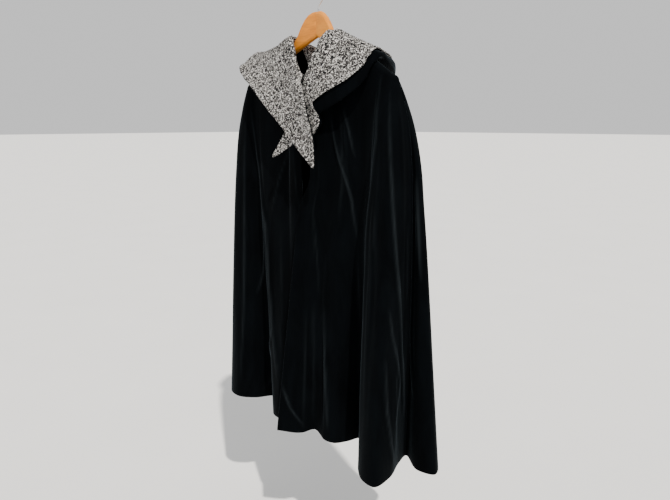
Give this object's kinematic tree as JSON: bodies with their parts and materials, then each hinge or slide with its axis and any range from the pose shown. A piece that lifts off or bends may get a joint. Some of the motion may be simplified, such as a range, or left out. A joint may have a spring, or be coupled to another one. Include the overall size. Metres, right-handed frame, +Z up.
{
  "type": "hooded cape on a hanger",
  "caption": "Long hooded cape of dark velvet with a tweed-lined hood turned down round the neck, hanging open in deep folds on a curved wooden hanger with a wire hook.",
  "frame": {"origin": "inner top of the hanger's hook, where it rests on a rail", "axes": "+Z up, -Y the front of the cape, +X the wearer's left"},
  "size_m": [0.636, 0.2713, 1.0081],
  "materials": {
    "velvet": "black-navy velvet pile",
    "tweed": "salt-and-pepper boucle tweed",
    "wood": "satin varnish",
    "hook_metal": "bright plated wire"
  },
  "bodies": {
    "root": {"cape_front_left": "velvet", "cape_front_right": "velvet", "cape_back": "velvet", "hood_outer": "velvet", "hood_lining": "tweed", "hanger_arm_left": "wood", "hanger_arm_right": "wood", "hanger_hook": "hook_metal"}
  },
  "joints": []
}
